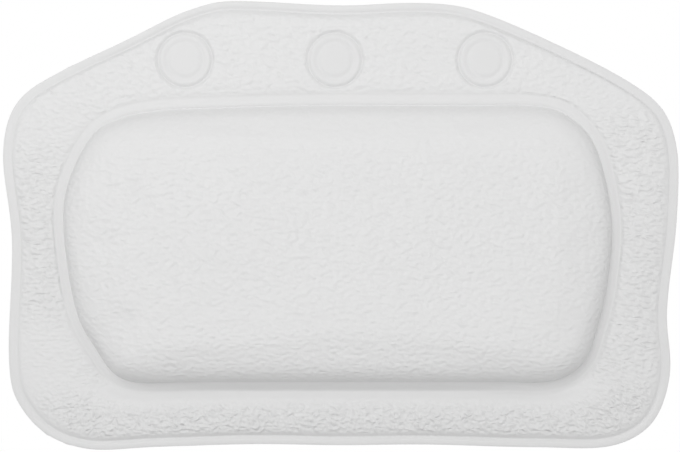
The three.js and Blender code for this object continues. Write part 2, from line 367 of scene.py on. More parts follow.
@dataclass
class SheetPlan:
    """The net of a welded sheet: a grid over the pad and rings from there out to the edge."""

    layout: Layout
    columns: int = 48
    rows: int = 24
    smoothings: int = 12
    grid_reach: float = 0.009
    corners: tuple[float, ...] = (25.0, 36.4, 41.0, 49.4, 55.0)
    foot: np.ndarray = field(init=False)
    edge: np.ndarray = field(init=False)

    def __post_init__(self) -> None:
        """Spaces the net along the foot of the pad and carries it to the edge."""
        counts = (self.columns, self.rows, self.columns, self.rows)
        line = self.layout.foot
        stretches = zip(self.corners[:-1], self.corners[1:], counts)
        places = np.concatenate([line.even(start, end, count) for start, end, count in stretches])
        self.foot = line.at(places)
        self.edge = self.layout.edge.at(places)

    def inside(self, reach: float) -> np.ndarray:
        """Gives the ring that lies a distance in from the pad's foot, on the way to the pad's spine."""
        way = self.layout.spine(self.foot) - self.foot
        return self.foot + way * (reach / np.linalg.norm(way, axis=1))[:, None]

    def patch(self, ring: np.ndarray, across: int, up: int) -> np.ndarray:
        """Finds a point of the grid that spans a ring.

        Args:
            ring: The ring round the grid.
            across: Column of the point, from the left.
            up: Row of the point, from below.

        Returns:
            Its x and z.
        """
        n, m = self.columns, self.rows
        s, t = across / n, up / m
        low_left, low_right, top_left, top_right = ring[2 * n + m], ring[n + m], ring[0], ring[n]
        level = (1 - t) * ring[2 * n + m - across] + t * ring[across]
        plumb = (1 - s) * ring[(2 * n + m + up) % len(ring)] + s * ring[n + m - up]
        corner = (1 - t) * ((1 - s) * low_left + s * low_right) + t * ((1 - s) * top_left + s * top_right)
        return level + plumb - corner

    def net(self, rings: Sequence[Ring], crown: Callable[[np.ndarray], np.ndarray]) -> bmesh.types.BMesh:
        """Builds the sheet's net.

        Args:
            rings: Its rings, from the one round the grid outwards.
            crown: Gives the depth of points of the grid.

        Returns:
            An open mesh whose vertices carry the number of their ring and their place round it.
        """
        bm = bmesh.new()
        bmesh.ops.create_grid(bm, x_segments=self.columns, y_segments=self.rows, size=1.0)
        place = bm.verts.layers.int.new("place")
        bm.verts.layers.int.new("ring")
        n, m = self.columns, self.rows
        for vert in bm.verts:
            across, up = round((vert.co.x + 1) / 2 * n), round((vert.co.y + 1) / 2 * m)
            if up == m:
                vert[place] = across
            elif across == n:
                vert[place] = n + m - up
            elif up == 0:
                vert[place] = 2 * n + m - across
            elif across == 0:
                vert[place] = 2 * n + m + up
            vert[place] %= len(self.foot)
            x, z = self.patch(rings[0].points, across, up)
            vert.co = (x, 0.0, z)
        inner = [vert for vert in bm.verts if not vert.is_boundary]
        for _ in range(self.smoothings):
            bmesh.ops.smooth_vert(bm, verts=inner, factor=0.5, use_axis_x=True, use_axis_z=True)
        plan = np.array([(vert.co.x, vert.co.z) for vert in bm.verts])
        for vert, depth in zip(bm.verts, crown(plan)):
            vert.co.y = -depth
        edges = open_edges(bm)
        for number, ring in enumerate(rings[1:], 1):
            edges = grow(bm, edges, ring, number)
        bm.verts.index_update()
        return bm


def grow(
    bm: bmesh.types.BMesh, edges: Sequence[bmesh.types.BMEdge], ring: Ring, number: int
) -> list[bmesh.types.BMEdge]:
    """Extrudes an open edge loop to the next ring.

    Args:
        bm: The mesh, with layers for the number of a vertex's ring and its place round it.
        edges: The loop to extrude.
        ring: Where the new loop goes.
        number: The new ring's number.

    Returns:
        The new loop.
    """
    place, rank = bm.verts.layers.int["place"], bm.verts.layers.int["ring"]
    grown = bmesh.ops.extrude_edge_only(bm, edges=edges)["geom"]
    for vert in (part for part in grown if isinstance(part, bmesh.types.BMVert)):
        x, z = ring.points[vert[place]]
        vert.co = (x, -ring.depth[vert[place]], z)
        vert[rank] = number
    return [part for part in grown if isinstance(part, bmesh.types.BMEdge) and part.is_boundary]


def new_piece(name: str, bm: bmesh.types.BMesh, finish: bpy.types.Material | None = None) -> bpy.types.Object:
    """Makes an object of a mesh that is complete.

    Args:
        name: The piece's name.
        bm: Its mesh, which is freed.
        finish: Its material, if it has one yet.

    Returns:
        The object, in the scene.
    """
    mesh = bpy.data.meshes.new(name)
    bm.to_mesh(mesh)
    bm.free()
    piece = bpy.data.objects.new(name, mesh)
    bpy.context.scene.collection.objects.link(piece)
    mesh.shade_smooth()
    if finish:
        mesh.materials.append(finish)
    return piece


def finished(piece: bpy.types.Object) -> bpy.types.Mesh:
    """Takes a copy of a piece's mesh with its modifiers applied, and removes the piece."""
    graph = bpy.context.evaluated_depsgraph_get()
    mesh = bpy.data.meshes.new_from_object(piece.evaluated_get(graph), depsgraph=graph)
    bpy.data.objects.remove(piece)
    return mesh


def smoothed(net: bmesh.types.BMesh, levels: int) -> bpy.types.Mesh:
    """Rounds a net, which is freed, by dividing it a number of times."""
    cage = new_piece("cage", net)
    smooth = cage.modifiers.new("smooth", "SUBSURF")
    smooth.levels = smooth.render_levels = levels
    return finished(cage)


def corners_of(mesh: bpy.types.Mesh) -> np.ndarray:
    """Reads a mesh's vertices as rows of x, y and z."""
    values = np.empty(len(mesh.vertices) * 3)
    mesh.vertices.foreach_get("co", values)
    return values.reshape(-1, 3)


def strength_of(mesh: bpy.types.Mesh, grain: Grain) -> np.ndarray:
    """Reads how strongly a pattern is pressed into each vertex of a mesh."""
    values = np.empty(len(mesh.vertices), np.float32)
    mesh.attributes[grain.value].data.foreach_get("value", values)
    return values


@dataclass(frozen=True)
class Swelling:
    """Air pressure that puffs a sheet up between its welds, run as cloth."""

    frames: int = 20

    CLOTH: ClassVar[dict[str, Any]] = {
        "quality": 6,
        "mass": 0.3,
        "tension_stiffness": 40.0,
        "compression_stiffness": 40.0,
        "shear_stiffness": 20.0,
        "bending_stiffness": 1.0,
        "use_pressure": True,
        "uniform_pressure_force": 4.0,
    }

    def run(self, bm: bmesh.types.BMesh, limit: np.ndarray) -> np.ndarray:
        """Swells a copy of a net.

        Args:
            bm: The net, which is left as it is.
            limit: How far each vertex may move, 0 where a weld bar holds it.

        Returns:
            Rows of x, y and z for the net's vertices.
        """
        copy = bm.copy()
        bmesh.ops.edgeloop_fill(copy, edges=open_edges(copy))
        bmesh.ops.recalc_face_normals(copy, faces=copy.faces)
        held = np.flatnonzero(limit == 0.0).tolist()
        pillow = new_piece("swelling_copy", copy)
        rest = corners_of(pillow.data)
        pillow.vertex_groups.new(name="welds").add(held, 1.0, "REPLACE")
        cloth = pillow.modifiers.new("swell", "CLOTH")
        cloth.settings.vertex_group_mass = "welds"
        for name, value in self.CLOTH.items():
            setattr(cloth.settings, name, value)
        cloth.settings.effector_weights.gravity = 0.0
        cloth.point_cache.frame_end = self.frames
        for frame in range(1, self.frames + 1):
            bpy.context.scene.frame_set(frame)
        swollen = finished(pillow)
        move = corners_of(swollen) - rest
        bpy.context.scene.frame_set(1)
        bpy.data.meshes.remove(swollen)
        length = np.linalg.norm(move, axis=1)
        LOG.info("swelling moves the sheet %.2f mm at most", length.max() * 1000)
        share = np.minimum(1.0, limit / np.maximum(length, 1e-9))
        return rest + move * share[:, None]


class Value:
    """A shader's number, colour or vector that Python expressions can use."""

    def __init__(self, nodes: Nodes, socket: bpy.types.NodeSocket) -> None:
        """Wraps an output socket."""
        self.nodes = nodes
        self.socket = socket

    def _math(self, operation: str, first: Any, second: Any) -> Value:
        """Adds a Math node for one step of an expression."""
        return self.nodes.add("ShaderNodeMath", {"operation": operation}, {0: first, 1: second})["Value"]

    def __add__(self, other: Any) -> Value:
        """Sum."""
        return self._math("ADD", self, other)

    def __sub__(self, other: Any) -> Value:
        """Difference."""
        return self._math("SUBTRACT", self, other)

    def __mul__(self, other: Any) -> Value:
        """Product."""
        return self._math("MULTIPLY", self, other)

    def __rsub__(self, other: Any) -> Value:
        """Difference from a plain number."""
        return self._math("SUBTRACT", other, self)

    __radd__ = __add__
    __rmul__ = __mul__


class Outputs:
    """The outputs of one added node, by name or number."""

    def __init__(self, nodes: Nodes, node: bpy.types.Node) -> None:
        """Keeps the node."""
        self.nodes = nodes
        self.node = node

    def __getitem__(self, name: str | int) -> Value:
        """Picks one output."""
        return Value(self.nodes, self.node.outputs[name])


class Nodes:
    """The node tree of one finish or of the surroundings."""

    def __init__(self, owner: bpy.types.Material | bpy.types.World) -> None:
        """Empties the owner's tree."""
        owner.use_nodes = True
        self.owner = owner
        self.tree = owner.node_tree
        self.tree.nodes.clear()

    @classmethod
    def of_finish(cls, name: str) -> Nodes:
        """Starts a new material."""
        return cls(bpy.data.materials.new(name))

    def add(self, kind: str, settings: dict[str, Any], inputs: dict[Any, Any]) -> Outputs:
        """Adds a node.

        Args:
            kind: The node's type.
            settings: Its settings.
            inputs: Values or links for its sockets, by name or number.

        Returns:
            Its outputs.
        """
        node = self.tree.nodes.new(kind)
        for key, value in settings.items():
            setattr(node, key, value)
        for key, value in inputs.items():
            if isinstance(value, Value):
                self.tree.links.new(value.socket, node.inputs[key])
            else:
                node.inputs[key].default_value = value
        return Outputs(self, node)

    def attribute(self, name: str, output: str = "Fac") -> Value:
        """Reads a number or a vector that the piece carries on its vertices."""
        return self.add("ShaderNodeAttribute", {"attribute_name": name}, {})[output]

    def cells(self, size: Triple, turn: Triple = (0.0, 0.0, 0.0), place: Value | None = None) -> Value:
        """Counts a place in cells of a pattern.

        Args:
            size: The cell's size along each axis.
            turn: How the pattern is turned, in radians.
            place: The place; Object coordinates if it isn't given.

        Returns:
            The place in cells.
        """
        place = place or self.add("ShaderNodeTexCoord", {}, {})["Object"]
        scale = tuple(1.0 / length for length in size)
        inputs = {"Vector": place, "Rotation": turn, "Scale": scale}
        return self.add("ShaderNodeMapping", {}, inputs)["Vector"]

    def noise(self, place: Value, detail: float, distortion: float = 0.0) -> Value:
        """Adds soft noise from 0 to 1, one cell for each unit of the place."""
        inputs = {"Vector": place, "Scale": 1.0, "Detail": detail, "Distortion": distortion}
        return self.add("ShaderNodeTexNoise", {}, inputs)["Fac"]

    def clamp(self, value: Value) -> Value:
        """Keeps a number from 0 to 1."""
        return self.add("ShaderNodeClamp", {}, {"Value": value})["Result"]

    def tint(self, share: Value, light: Colour, dark: Colour) -> Value:
        """Mixes a share of the dark colour into the light one."""
        return self.add("ShaderNodeMix", {"data_type": "RGBA"}, {"Factor": share, 6: light, 7: dark})[2]

    def surface(self, relief: float, height: Value, inputs: dict[str, Any]) -> bpy.types.Material:
        """Ends the tree in a Principled shader.

        Args:
            relief: How far the fine relief stands out.
            height: Its height as a share of that.
            inputs: The shader's other values and links.

        Returns:
            The material.
        """
        bump = {"Strength": 1.0, "Distance": relief, "Height": height}
        normal = self.add("ShaderNodeBump", {}, bump)["Normal"]
        shader = self.add("ShaderNodeBsdfPrincipled", {}, {**inputs, "Normal": normal})["BSDF"]
        self.add("ShaderNodeOutputMaterial", {}, {"Surface": shader})
        return self.owner


@dataclass(frozen=True)
class EmbossedFoam:
    """White foamed vinyl with a pressed crinkle.

    Ripples lie across the sides and the lower pad, pebbles along the bottom, and faint cobbles on the header
    and the rest of the pad. The pressed welds between them are a touch greyer; the creases get painted shade.
    """

    light: Colour = (0.78, 0.78, 0.78, 1.0)
    dark: Colour = (0.60, 0.60, 0.60, 1.0)
    fine: Triple = (0.0011, 0.0010, 0.0009)
    fine_height: float = 0.05
    cloud: Triple = (0.05, 0.05, 0.03)
    cloud_stain: float = 0.06
    stir: float = 0.75
    relief: float = 0.00088
    level: float = 0.25
    # painted shade: how much the base colour darkens in the creases between ridges
    crease_shade_strength: float = 0.055
    pressed: float = 0.14
    pressed_end: float = 0.2
    rough: float = 0.46
    scatter: float = 0.9
    wave_height: float = 1.1
    wave_base: float = 0.3
    gap_depth: float = 0.39

    RIDGES: ClassVar[dict[Grain, tuple[Pair, float]]] = {
        Grain.RIPPLE: ((0.0032, 0.0020), 0.05),
        Grain.PEBBLE: ((0.0025, 0.0019), 0.2),
        Grain.COBBLE: ((0.0032, 0.0024), -0.05),
    }

    def build(self) -> bpy.types.Material:
        """Makes the finish."""
        nodes = Nodes.of_finish("embossed_foam")
        fine = nodes.noise(nodes.cells(self.fine), 2.0)
        height, painted_crease_shade, embossed = fine * self.fine_height, 0.0, 0.0
        for grain, (size, turn) in self.RIDGES.items():
            strength = nodes.attribute(grain.value)
            flat = nodes.attribute("flat", "Vector")
            rumples = self.rumples(nodes, nodes.cells((*size, 1.0), (0.0, 0.0, turn), flat))
            height = height + (rumples - self.level) * strength
            # painted shade: the base colour darkens in the creases between ridges
            painted_crease_shade = (1.0 - rumples) * strength * self.crease_shade_strength + painted_crease_shade
            embossed = strength * (1.0 / self.pressed_end) + embossed
        cloudy = nodes.noise(nodes.cells(self.cloud), 3.0)
        # painted crease shade, plus random cloudy tone and the greyer pressed welds
        shade_and_tone = painted_crease_shade + cloudy * self.cloud_stain + self.pressed * (1.0 - nodes.clamp(embossed))
        return nodes.surface(self.relief, height, {
            "Base Color": nodes.tint(shade_and_tone, self.light, self.dark),
            "Roughness": self.rough + 0.8 * painted_crease_shade + 0.08 * cloudy + 0.06 * fine,
        })

    def rumples(self, nodes: Nodes, place: Value) -> Value:
        """Adds soft wavy ridges with faint creases between them.

        Args:
            nodes: The tree to add to.
            place: Coordinates in ridges.

        Returns:
            Height, about 1 on a ridge and lower between ridges.
        """
        flat = {"noise_dimensions": "2D"}
        drift = nodes.add("ShaderNodeTexNoise", flat, {"Vector": place, "Scale": 0.5, "Detail": 1.0})["Color"]
        pull = {0: drift, 1: (self.stir,) * 3, 2: place}
        bent = nodes.add("ShaderNodeVectorMath", {"operation": "MULTIPLY_ADD"}, pull)["Vector"]
        cells = {"feature": "F1", "voronoi_dimensions": "2D"}
        spread = {"Vector": bent, "Scale": 1.0, "Randomness": self.scatter}
        apart = nodes.add("ShaderNodeTexVoronoi", cells, spread)["Distance"]
        waves = nodes.add("ShaderNodeTexNoise", flat, {"Vector": bent, "Scale": 1.1, "Detail": 0.0})["Fac"]
        return self.wave_height * waves + self.wave_base - self.gap_depth * apart * apart


@dataclass(frozen=True)
class BackFilm:
    """Plain white vinyl film with a fine calendered grain."""

    light: Colour = (0.77, 0.77, 0.77, 1.0)
    dark: Colour = (0.7, 0.7, 0.7, 1.0)
    grain: Triple = (0.0009, 0.0009, 0.0009)
    slack: Triple = (0.022, 0.02, 0.013)
    slack_turn: Triple = (0.0, 0.4, 0.0)
    drift: Triple = (0.03, 0.03, 0.02)
    relief: float = 0.0012

    def build(self) -> bpy.types.Material:
        """Makes the finish."""
        nodes = Nodes.of_finish("back_film")
        grain = nodes.noise(nodes.cells(self.grain), 2.0)
        drift = nodes.noise(nodes.cells(self.drift), 3.0)
        slack = nodes.noise(nodes.cells(self.slack, self.slack_turn), 1.0, 0.6)
        return nodes.surface(self.relief, slack + 0.05 * grain, {
            "Base Color": nodes.tint(0.25 * drift + 0.1 * grain, self.light, self.dark),
            "Roughness": 0.3 + 0.14 * drift,
        })


@dataclass(frozen=True)
class WeldFilm:
    """Melted vinyl: smoother and a little greyer than the sheets."""

    light: Colour = (0.75, 0.75, 0.75, 1.0)
    dark: Colour = (0.66, 0.66, 0.66, 1.0)
    ripple: Triple = (0.004, 0.004, 0.004)
    relief: float = 0.00005

    def build(self) -> bpy.types.Material:
        """Makes the finish."""
        nodes = Nodes.of_finish("weld_film")
        ripple = nodes.noise(nodes.cells(self.ripple), 3.0)
        return nodes.surface(self.relief, ripple, {
            "Base Color": nodes.tint(0.5 * ripple, self.light, self.dark),
            "Roughness": 0.28 + 0.2 * ripple,
        })


@dataclass(frozen=True)
class CoreFoam:
    """Cream open-cell foam."""

    light: Colour = (0.83, 0.77, 0.55, 1.0)
    # dark: the painted shade in the pits of the pores
    dark: Colour = (0.62, 0.55, 0.34, 1.0)
    cell: Triple = (0.0018, 0.0018, 0.0018)
    relief: float = 0.0006

    def build(self) -> bpy.types.Material:
        """Makes the finish."""
        nodes = Nodes.of_finish("core_foam")
        inputs = {"Vector": nodes.cells(self.cell), "Scale": 1.0}
        pores = nodes.add("ShaderNodeTexVoronoi", {"feature": "F1"}, inputs)["Distance"]
        # painted shade: the base colour darkens into the pits of the pores
        pit_shaded_colour = nodes.tint(1.0 - pores, self.light, self.dark)
        return nodes.surface(self.relief, pores, {"Base Color": pit_shaded_colour, "Roughness": 0.95})


@dataclass(frozen=True)
class CupVinyl:
    """Soft milky vinyl that lets a little light through."""

    light: Colour = (0.83, 0.85, 0.85, 1.0)
    dark: Colour = (0.76, 0.79, 0.80, 1.0)
    flow: Triple = (0.008, 0.008, 0.008)
    relief: float = 0.00004

    def build(self) -> bpy.types.Material:
        """Makes the finish."""
        nodes = Nodes.of_finish("cup_vinyl")
        flow = nodes.noise(nodes.cells(self.flow), 3.0)
        return nodes.surface(self.relief, flow, {
            "Base Color": nodes.tint(flow, self.light, self.dark),
            "Roughness": 0.06 + 0.1 * flow,
            "Transmission Weight": 0.2,
            "IOR": 1.45,
        })


@dataclass(frozen=True)
class Embossing:
    """How strongly each pattern is pressed into the front sheet.

    Its fades run along x or z, outwards over the border's width, or up the pad's height.
    """

    sides: Pair = (0.68, 0.22)
    stones: float = 0.98
    header: float = 0.5
    bare: float = 0.65
    waves: float = 0.5
    face: Pair = (0.2, 0.34)
    face_waves: float = 0.6

    BOTTOM: ClassVar[Fade] = Fade(-0.150, -0.166)
    RIGHT_HALF: ClassVar[Fade] = Fade(-0.04, 0.04)
    HEADER_LEFT: ClassVar[Fade] = Fade(-0.056, -0.024)
    HEADER_RIGHT: ClassVar[Fade] = Fade(-0.040, -0.008)
    BARE_LEFT: ClassVar[Fade] = Fade(-0.118, -0.140)
    BARE_TOP: ClassVar[Fade] = Fade(-0.120, -0.134)
    BARE_BOTTOM: ClassVar[Fade] = Fade(-0.172, -0.160)
    SIDES_INNER: ClassVar[Fade] = Fade(0.05, 0.3)
    SIDES_OUTER: ClassVar[Fade] = Fade(1.03, 0.87)
    STONES_INNER: ClassVar[Fade] = Fade(0.1, 0.5)
    STONES_OUTER: ClassVar[Fade] = Fade(1.0, 0.88)
    LOWER_PAD: ClassVar[Fade] = Fade(0.42, 0.02)
    BELOW_TOP: ClassVar[Fade] = Fade(0.95, 0.7)
    WALL_RINGS: ClassVar[dict[int, float]] = {1: 0.75, 2: 0.4, 3: 0.15}

    def mark(self, bm: bmesh.types.BMesh, rings: Sequence[Ring], layout: Layout) -> None:
        """Writes the strengths on each vertex of a sheet's net.

        Args:
            bm: The net.
            rings: The rings that it was built from.
            layout: The pillow's layout.
        """
        number = bm.verts.layers.int["ring"]
        x, z = (np.array([vert.co[axis] for vert in bm.verts]) for axis in (0, 2))
        zones = [rings[vert[number]].zone for vert in bm.verts]
        border = np.array([zone is Zone.BORDER for zone in zones], float)
        pad = np.array([zone in (Zone.CROWN, Zone.WALL) for zone in zones], float)
        out = np.array([rings[vert[number]].out for vert in bm.verts])
        wall = np.array([self.WALL_RINGS.get(vert[number], 1.0) for vert in bm.verts])
        low, right = self.BOTTOM(z), self.RIGHT_HALF(x)
        head = self.HEADER_LEFT(z) * (1.0 - right) + self.HEADER_RIGHT(z) * right
        high = (z - layout.foot_bottom) / layout.foot_height
        plain = 1.0 - self.bare * (self.BARE_LEFT(x) * self.BARE_TOP(z) * self.BARE_BOTTOM(z))
        wavy = self.LOWER_PAD(high) * wall
        sides = self.sides[0] + self.sides[1] * self.SIDES_INNER(out)
        sides = border * sides * self.SIDES_OUTER(out) * plain
        stones = border * self.stones * self.STONES_INNER(out) * self.STONES_OUTER(out) * plain
        face = pad * (self.face[0] + self.face[1] * self.BELOW_TOP(high))
        strength = {
            Grain.RIPPLE: sides * (1 - low) * (1 - head) + pad * self.waves * wavy,
            Grain.PEBBLE: stones * low,
            Grain.COBBLE: border * self.header * head + face * (1 - self.face_waves * wavy),
        }
        for grain, values in strength.items():
            layer = bm.verts.layers.float.new(grain.value)
            for vert, value in zip(bm.verts, values):
                vert[layer] = value


@dataclass
class FrontSheet:
    """The embossed front sheet: crown of the pad, weld band, swollen border, header and rim."""

    layout: Layout
    plan: SheetPlan
    crown: Crown
    swollen: float = 0.0038
    drawn: float = 0.0024
    pressed: float = 0.0009
    rim: tuple[Pair, ...] = ((1.0, 0.0018), (0.25, 0.0018), (0.0, 0.0015))
    rim_width: float = 0.0029
    groove_width: float = 0.0011
    groove_lift: float = 0.0010
    ring_groove: Pair = (0.00085, 0.0009)
    ring_shift: Pair = (0.0008, -0.0009)
    ring_fade: float = 0.002
    ring_reach: float = 0.0030
    disc_radius: float = 0.0088
    disc_dip: Pair = (0.0004, 0.0012)
    wall_reaches: tuple[float, ...] = (0.0052, 0.0024, 0.0008)
    seam: tuple[Pair, ...] = ((0.0, 0.0010), (0.12, 0.0013), (0.5, 0.0014), (0.82, 0.0008), (1.0, 0.0010))
    seam_tilt: float = 0.0044
    tilt_height: float = 0.012
    valley_floor: float = 0.0006
    header_lift: float = 0.0014
    border: tuple[float, ...] = (0.05, 0.12, 0.23, 0.37, 0.55, 0.72, 0.86, 0.965)
    seam_step: float = 0.002
    seam_slope: float = 0.009
    edge_slope: float = 0.012
    top_slope: float = 0.004
    edge_height: float = 0.38
    left_drop: float = 0.3
    left_climb: float = 0.7
    step_share: float = 0.06
    step_right: float = 0.14
    groove_bottom: float = 0.1
    groove_sides: float = 0.65
    groove_right: float = 0.25
    groove_header: float = 0.7
    groove_header_right: float = 0.6
    swelling: Swelling = Swelling()
    embossing: Embossing = Embossing()

    FOOT_SAMPLES: ClassVar[int] = 1500
    CAPS: ClassVar[dict[Zone, float]] = {Zone.CROWN: 0.0012, Zone.WALL: 0.0004, Zone.BORDER: 0.0004}
    LARGE_WAVE: ClassVar[Triple] = (0.034, 0.02, 0.026)
    SMALL_WAVE: ClassVar[Triple] = (0.012, 0.006, 0.005)
    WAVE_HEIGHTS: ClassVar[Pair] = (0.0002, 0.0001)
    LIFTED: ClassVar[Fade] = Fade(-0.07, -0.025)
    TILTED: ClassVar[Fade] = Fade(0.105, 0.05)
    SEAM_LEFT: ClassVar[Fade] = Fade(-0.05, -0.12)
    SEAM_RIGHT: ClassVar[Fade] = Fade(0.0, 0.09)
    SEAM_LOWER: ClassVar[Fade] = Fade(-0.03, -0.06)
    SEAM_TOP: ClassVar[Fade] = Fade(-0.06, -0.03)
    EDGE_TOP: ClassVar[Fade] = Fade(-0.03, 0.0)
    GROOVE_ABOVE: ClassVar[Fade] = Fade(-0.178, -0.150)
    GROOVE_RIGHT: ClassVar[Fade] = Fade(0.1, 0.15)
    GROOVE_HEADER: ClassVar[Fade] = Fade(-0.012, 0.006)
    HEADER_RIGHT: ClassVar[Fade] = Fade(0.03, 0.08)

    @property
    def weld_depth(self) -> float:
        """Depth of the pressed face of a weld."""
        return self.layout.cover_depth + self.pressed

    def crown_depth(self, plan: np.ndarray) -> np.ndarray:
        """Gives the depth of the pad's face.

        Args:
            plan: Rows of x and z inside the pad's foot.

        Returns:
            A depth for each row.
        """
        layout = self.layout
        line = layout.foot.loop(self.FOOT_SAMPLES)
        apart = np.linalg.norm(plan[:, None, :] - line[None, :, :], axis=2)
        nearest = line[apart.argmin(axis=1)]
        high, foot_high = ((rows[:, 1] - layout.foot_bottom) / layout.foot_height for rows in (plan, nearest))
        foot_out = np.abs(nearest[:, 0] - layout.foot_shift) / layout.foot_half
        rise = self.crown.rise(high, np.stack([foot_out, foot_high], axis=1), apart.min(axis=1))
        return self.weld_depth + np.maximum(rise, self.valley_floor + self.lift(nearest[:, 1]))

    def lift(self, height: np.ndarray) -> np.ndarray:
        """Gives how far the pad's weld stands out at a height, as it meets the thicker header."""
        return self.header_lift * self.LIFTED(height)

    def rings(self) -> list[Ring]:
        """Lists the rings from the grid over the pad out to the edge."""
        layout, plan = self.layout, self.plan
        groove = self.rim_width + layout.GROOVE_WALL + self.groove_width
        seam, channel = offset(plan.foot, layout.SEAM_WIDTH), offset(plan.edge, -groove)
        made = []
        for reach in (plan.grid_reach, *self.wall_reaches):
            points = plan.inside(reach)
            made.append(Ring(Zone.WALL if made else Zone.CROWN, points, self.crown_depth(points)))
        raised = self.weld_depth + self.lift(plan.foot[:, 1])
        tilt = self.seam_tilt * self.TILTED(np.abs(plan.foot[:, 0]))
        tilt *= Fade(layout.foot_bottom + self.tilt_height, layout.foot_bottom)(plan.foot[:, 1])
        for width, height in self.seam:
            points = offset(plan.foot, width * layout.SEAM_WIDTH)
            made.append(Ring(Zone.SEAM, points, raised + (1.0 - width) * tilt + height))
        made += self.border_rings(seam, channel, raised + self.seam[-1][1])
        deep = self.groove_depth(channel)
        bank = offset(plan.edge, -self.rim_width - layout.GROOVE_WALL)
        made += [Ring(Zone.GROOVE, channel, deep), Ring(Zone.GROOVE, bank, deep)]
        for share, height in self.rim:
            points = offset(plan.edge, -share * self.rim_width)
            made.append(Ring(Zone.RIM, points, np.full(len(points), layout.cover_depth + height)))
        return made

    def border_rings(self, seam: np.ndarray, channel: np.ndarray, foot_depth: np.ndarray) -> list[Ring]:
        """Lists the rings of the swollen border, which is flatter on the left and steeper at the top.

        Args:
            seam: The outer line of the pad's weld.
            channel: The inner line of the edge's groove.
            foot_depth: Depth of the weld's outer line.

        Returns:
            The rings, from the weld outwards.
        """
        span = np.linalg.norm(channel - seam, axis=1)
        left = self.SEAM_LEFT(seam[:, 0])
        full = self.layout.cover_depth + self.swollen - foot_depth
        full *= 1.0 - self.left_drop * left
        slope = self.edge_slope + (self.top_slope - self.edge_slope) * self.EDGE_TOP(channel[:, 1])
        right = self.SEAM_RIGHT(seam[:, 0]) * self.SEAM_LOWER(seam[:, 1])
        step = self.step_share + self.step_right * right - self.step_share * left
        climb = self.seam_slope * (1.0 + self.left_climb * left)
        climb += (self.top_slope - climb) * self.SEAM_TOP(seam[:, 1])
        made = []
        for share in self.border:
            rise = step * quarter_wave(share * span / self.seam_step)
            rise += (1.0 - step) * quarter_wave(share * span / climb)
            fall = quarter_wave((1.0 - share) * span / slope)
            swell = rise * (self.edge_height + (1.0 - self.edge_height) * fall)
            points = seam + share * (channel - seam)
            made.append(Ring(Zone.BORDER, points, foot_depth + swell * full, share))
        return made

    def groove_depth(self, channel: np.ndarray) -> np.ndarray:
        """Gives the depth of the edge's groove: deepest at the bottom, shallow at the sides."""
        shallow = self.groove_bottom + self.groove_sides * self.GROOVE_ABOVE(channel[:, 1])
        shallow += self.groove_right * self.GROOVE_RIGHT(channel[:, 0])
        left_header = 1.0 - self.groove_header_right * self.HEADER_RIGHT(channel[:, 0])
        shallow *= 1.0 - self.groove_header * self.GROOVE_HEADER(channel[:, 1]) * left_header
        return self.weld_depth + self.groove_lift * shallow

    def mark_flat(self, bm: bmesh.types.BMesh, rings: Sequence[Ring]) -> None:
        """Writes on each vertex where it lay on the sheet before the pad was formed.

        Args:
            bm: The sheet's net.
            rings: The rings that it was built from.
        """
        outwards = offset(self.plan.foot, 1.0) - self.plan.foot
        spare = [np.zeros(len(outwards))]
        for inner, outer in zip(rings, rings[1:]):
            across = np.linalg.norm(outer.points - inner.points, axis=1)
            drawn = np.hypot(across, outer.depth - inner.depth) - across if outer.zone is Zone.WALL else 0.0
            spare.append(spare[-1] + drawn)
        place, number = bm.verts.layers.int["place"], bm.verts.layers.int["ring"]
        flat = bm.verts.layers.float_vector.new("flat")
        for vert in bm.verts:
            shift = outwards[vert[place]] * spare[vert[number]][vert[place]]
            vert[flat] = (vert.co.x + shift[0], vert.co.z + shift[1], 0.0)

    def line_inside(self, bm: bmesh.types.BMesh, rings: Sequence[Ring]) -> bmesh.types.BMesh:
        """Makes the sheet's inner face from its net.

        Args:
            bm: The net after swelling.
            rings: The rings that it was built from.

        Returns:
            A mesh that faces the core and the back sheet.
        """
        inner = bm.copy()
        inner.normal_update()
        number = inner.verts.layers.int["ring"]
        moved = {vert: vert.co - vert.normal * self.drawn for vert in inner.verts}
        for vert, place in moved.items():
            if rings[vert[number]].zone in (Zone.CROWN, Zone.WALL):
                vert.co = place
                vert.co.y = min(vert.co.y, -self.layout.cover_depth)
            else:
                vert.co.y = -self.layout.cover_depth
        bmesh.ops.reverse_faces(inner, faces=inner.faces)
        return inner

    def refine_rings(self, bm: bmesh.types.BMesh) -> None:
        """Divides the mesh finely round the ring welds."""
        reach = self.layout.ring_radius + self.ring_reach
        centres = self.layout.ring_centres.values()
        for _ in range(2):
            near = [
                edge
                for edge in bm.edges
                if any(
                    math.hypot(vert.co.x - centre.x, vert.co.z - centre.z) < reach
                    for centre in centres
                    for vert in edge.verts
                )
            ]
            bmesh.ops.subdivide_edges(bm, edges=near, cuts=1, use_grid_fill=True)

    def press_rings(self, mesh: bpy.types.Mesh) -> None:
        """Presses the ring welds into the header and smooths the grain there."""
        points = corners_of(mesh)
        radius = self.layout.ring_radius
        keep = np.ones(len(points))
        front = -points[:, 1]
        for centre in self.layout.ring_centres.values():
            across = points[:, 0] - centre.x - self.ring_shift[0]
            up = points[:, 2] - centre.z - self.ring_shift[1]
            r = np.hypot(across, up)
            for middle, (depth, width) in ((radius, self.ring_groove), (self.disc_radius, self.disc_dip)):
                front -= depth * np.exp(-(((r - middle) / width) ** 2))
            keep *= Fade(radius, radius + self.ring_fade)(r)
        points[:, 1] = -front
        mesh.vertices.foreach_set("co", points.ravel())
        for grain in Grain:
            values = strength_of(mesh, grain) * keep.astype(np.float32)
            mesh.attributes[grain.value].data.foreach_set("value", values)

